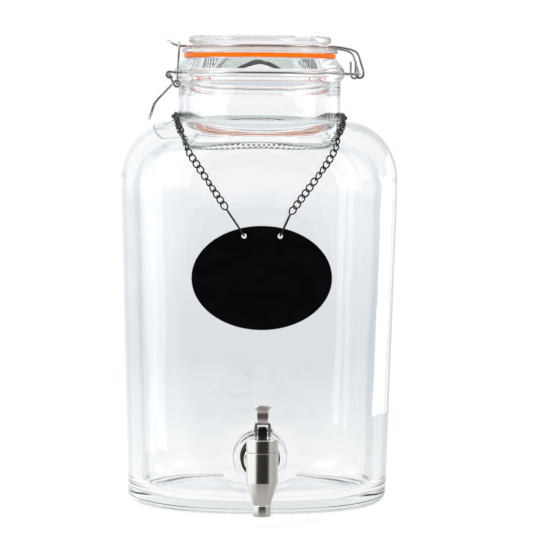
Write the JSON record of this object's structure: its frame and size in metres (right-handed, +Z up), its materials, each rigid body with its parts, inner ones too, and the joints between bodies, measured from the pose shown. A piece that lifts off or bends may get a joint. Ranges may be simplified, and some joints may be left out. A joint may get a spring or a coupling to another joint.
{
  "type": "glass dispenser jar",
  "caption": "Clip-top glass dispenser jar with a rounded oval body, lever tap at the front, wire-bail lid with rubber gasket, and an oval chalkboard tag hanging on a chain.",
  "frame": {"origin": "centre of the flat underside of the glass body, on the axis of the round neck", "axes": "+Z up through the neck and lid, -Y towards the tap and the tag, +X towards the lid's hinge, so that the latch is at -X"},
  "size_m": [0.232, 0.2274, 0.3896],
  "materials": {
    "glass": "clear, slightly cool",
    "orange_rubber": "satin",
    "wire": "smooth drawn wire",
    "black_chain": "satin black",
    "chalkboard": "matt black",
    "steel": "brushed",
    "black_rubber": "matt",
    "black_plastic": "gloss"
  },
  "bodies": {
    "jar": {"glass_jar": "glass", "neck_wire": "wire", "chain_back": "black_chain", "tap_body": "steel", "tap_bonnet": "steel", "tap_shank": "steel", "outer_washer": "black_rubber", "inner_washer": "black_rubber", "steel_washer": "steel", "shank_nut": "steel", "valve_spring": "steel"},
    "lid": {"glass_lid": "glass", "lid_gasket": "orange_rubber", "lid_wire": "wire"},
    "lever": {"clamp_lever": "wire"},
    "bail": {"clamp_bail": "wire"},
    "valve": {"valve_stem": "black_plastic", "valve_plug": "black_rubber", "lever_pin": "steel"},
    "tap_handle": {"tap_lever": "steel"},
    "tag_strands": {"chain_left": "black_chain", "chain_right": "black_chain"},
    "tag": {"chalk_tag": "chalkboard", "tag_link_left": "black_chain", "tag_link_right": "black_chain"}
  },
  "joints": [
    {"name": "lid_hinge", "type": "hinge", "parent": "jar", "child": "lid", "pos_m": [0.0818, 0, 0.359], "axis": [0, 1, 0], "range_deg": [0, 115]},
    {"name": "clamp_lever", "type": "hinge", "parent": "jar", "child": "lever", "pos_m": [-0.0754, 0, 0.3572], "axis": [0, 1, 0], "range_deg": [0, 150]},
    {"name": "bail_swing", "type": "hinge", "parent": "lever", "child": "bail", "pos_m": [-0.0691, 0, 0.3498], "axis": [0, 1, 0], "range_deg": [-210, 0], "deforming": ["clamp_bail"]},
    {"name": "valve_lift", "type": "slide", "parent": "jar", "child": "valve", "axis": [0, 0, 1], "range_m": [0, 0.0054], "deforming": ["valve_spring"]},
    {"name": "tap_tilt", "type": "hinge", "parent": "valve", "child": "tap_handle", "pos_m": [0, -0.13, 0.0782], "axis": [1, 0, 0], "range_deg": [0, 75], "stiffness_Nm_per_rad": 0.06, "springref_deg": -20.05},
    {"name": "tag_swing", "type": "hinge", "parent": "jar", "child": "tag_strands", "pos_m": [0, -0.068, 0.3108], "axis": [-1, 0, 0], "range_deg": [0, 40]},
    {"name": "tag_tilt", "type": "hinge", "parent": "tag_strands", "child": "tag", "pos_m": [0, -0.0879, 0.2473], "axis": [-1, 0, 0], "range_deg": [0, 15]}
  ],
  "couplings": [
    {"joint": "bail_swing", "follows": "clamp_lever", "ratio": -1.4},
    {"joint": "valve_lift", "follows": "tap_tilt", "m_per_rad": 0.004}
  ]
}
